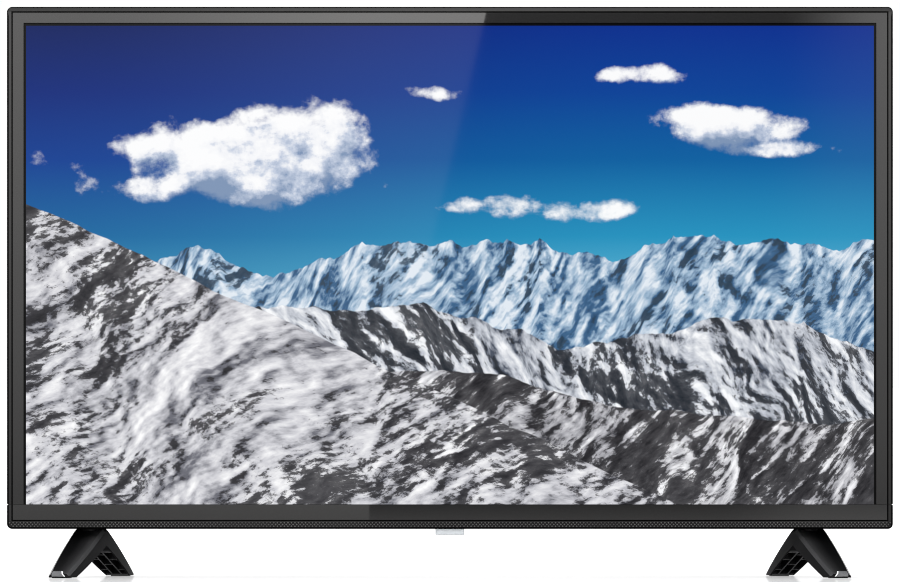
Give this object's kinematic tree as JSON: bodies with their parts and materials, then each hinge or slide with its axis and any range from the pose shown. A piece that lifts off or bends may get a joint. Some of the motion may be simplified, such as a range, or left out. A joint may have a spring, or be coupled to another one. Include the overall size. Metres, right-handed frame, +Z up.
{
  "type": "flat screen tv",
  "caption": "Flat screen television with a thin dark bezel, standing on two splayed feet, with its screen stack, electronics, speakers, keys and sockets inside and behind.",
  "frame": {"origin": "on the floor under the middle of the set, at the bottom centre of its bounding box", "axes": "+X to the viewer's right along the width, the screen faces -Y, +Z up"},
  "size_m": [0.729, 0.1788, 0.4694],
  "materials": {
    "bezel_plastic": "satin moulded plastic, near black",
    "trim_plastic": "satin moulded plastic with a fine pressed pattern on its lower band",
    "window_plastic": "translucent pale grey",
    "screen_glass": "polished panel front with its black border",
    "gasket_foam": "closed cell foam",
    "frame_plastic": "moulded",
    "film_plastic": "clear optical film",
    "diffuser_plastic": "opal sheet",
    "reflector_plastic": "white foamed sheet",
    "led_board": "white printed aluminium strip",
    "lens_plastic": "clear moulded lens",
    "sheet_steel": "galvanised sheet",
    "circuit_board": "green solder mask on glass fibre",
    "flex_film": "amber flexible circuit",
    "insulation_film": "black sheet",
    "chip_black": "moulded package",
    "heat_sink_metal": "extruded",
    "capacitor_sleeve": "shrink sleeved can",
    "transformer_core": "ferrite with yellow tape",
    "connector_white": "moulded nylon",
    "socket_metal": "plated shell",
    "jack_black": "moulded",
    "av_plastic": "moulded, coloured round each barrel",
    "plate_steel": "tin plated sheet",
    "cover_plastic": "fine spark texture, black",
    "bush_metal": "threaded insert",
    "key_plastic": "moulded",
    "switch_metal": "tact switch",
    "speaker_plastic": "moulded box",
    "magnet_metal": "plated pot",
    "surround_rubber": "rolled edge",
    "cone_paper": "pressed pulp",
    "grommet_rubber": "moulded",
    "foot_plastic": "polished black",
    "toe_trim_metal": "fine brushed strip",
    "pad_rubber": "soft pad",
    "screw_metal": "blackened",
    "bright_screw_metal": "zinc plated",
    "lead_sleeve": "insulated lead"
  },
  "bodies": {
    "tv": {"front_bezel": "bezel_plastic", "lower_trim": "trim_plastic", "ir_window": "window_plastic", "ir_board": "circuit_board", "bezel_gasket": "gasket_foam", "lcd_panel": "screen_glass", "middle_frame": "frame_plastic", "optical_films": "film_plastic", "diffuser_plate": "diffuser_plastic", "reflector_sheet": "reflector_plastic", "led_bars": "led_board", "led_lenses": "lens_plastic", "diffuser_posts": "diffuser_plastic", "backplane": "sheet_steel", "source_board": "circuit_board", "panel_flexes": "flex_film", "insulation_sheet": "insulation_film", "board_standoffs": "bright_screw_metal", "main_board": "circuit_board", "board_chips": "chip_black", "heat_sinks": "heat_sink_metal", "capacitors": "capacitor_sleeve", "transformer": "transformer_core", "board_headers": "connector_white", "tuner": "socket_metal", "hdmi_sockets": "socket_metal", "usb_sockets": "socket_metal", "headphone_socket": "jack_black", "av_sockets": "av_plastic", "ac_inlet": "jack_black", "terminal_plates": "plate_steel", "rear_cover": "cover_plastic", "vesa_bushes": "bush_metal", "key_board": "circuit_board", "key_switches": "switch_metal", "speaker_boxes": "speaker_plastic", "speaker_frames": "plate_steel", "speaker_magnets": "magnet_metal", "speaker_surrounds": "surround_rubber", "speaker_grommets": "grommet_rubber", "left_foot": "foot_plastic", "right_foot": "foot_plastic", "toe_trims": "toe_trim_metal", "foot_pads": "pad_rubber", "stand_brackets": "sheet_steel", "foot_screws": "screw_metal", "cover_screws": "screw_metal", "board_screws": "bright_screw_metal", "bezel_screws": "bright_screw_metal", "speaker_leads": "lead_sleeve", "signal_leads": "lead_sleeve"},
    "power_key": {"key_power": "key_plastic"},
    "source_key": {"key_source": "key_plastic"},
    "menu_key": {"key_menu": "key_plastic"},
    "volume_down_key": {"key_volume_down": "key_plastic"},
    "volume_up_key": {"key_volume_up": "key_plastic"},
    "channel_down_key": {"key_channel_down": "key_plastic"},
    "channel_up_key": {"key_channel_up": "key_plastic"},
    "left_cone": {"left_speaker_cone": "cone_paper"},
    "right_cone": {"right_speaker_cone": "cone_paper"}
  },
  "joints": [
    {"name": "power_key_press", "type": "slide", "parent": "tv", "child": "power_key", "axis": [0, -1, 0], "range_m": [0, 0.0007], "stiffness_N_per_m": 1500},
    {"name": "source_key_press", "type": "slide", "parent": "tv", "child": "source_key", "axis": [0, -1, 0], "range_m": [0, 0.0007], "stiffness_N_per_m": 1500},
    {"name": "menu_key_press", "type": "slide", "parent": "tv", "child": "menu_key", "axis": [0, -1, 0], "range_m": [0, 0.0007], "stiffness_N_per_m": 1500},
    {"name": "volume_down_key_press", "type": "slide", "parent": "tv", "child": "volume_down_key", "axis": [0, -1, 0], "range_m": [0, 0.0007], "stiffness_N_per_m": 1500},
    {"name": "volume_up_key_press", "type": "slide", "parent": "tv", "child": "volume_up_key", "axis": [0, -1, 0], "range_m": [0, 0.0007], "stiffness_N_per_m": 1500},
    {"name": "channel_down_key_press", "type": "slide", "parent": "tv", "child": "channel_down_key", "axis": [0, -1, 0], "range_m": [0, 0.0007], "stiffness_N_per_m": 1500},
    {"name": "channel_up_key_press", "type": "slide", "parent": "tv", "child": "channel_up_key", "axis": [0, -1, 0], "range_m": [0, 0.0007], "stiffness_N_per_m": 1500},
    {"name": "left_cone_stroke", "type": "slide", "parent": "tv", "child": "left_cone", "axis": [0, 0, 1], "range_m": [-0.0008, 0.0008], "stiffness_N_per_m": 2000},
    {"name": "right_cone_stroke", "type": "slide", "parent": "tv", "child": "right_cone", "axis": [0, 0, 1], "range_m": [-0.0008, 0.0008], "stiffness_N_per_m": 2000}
  ]
}
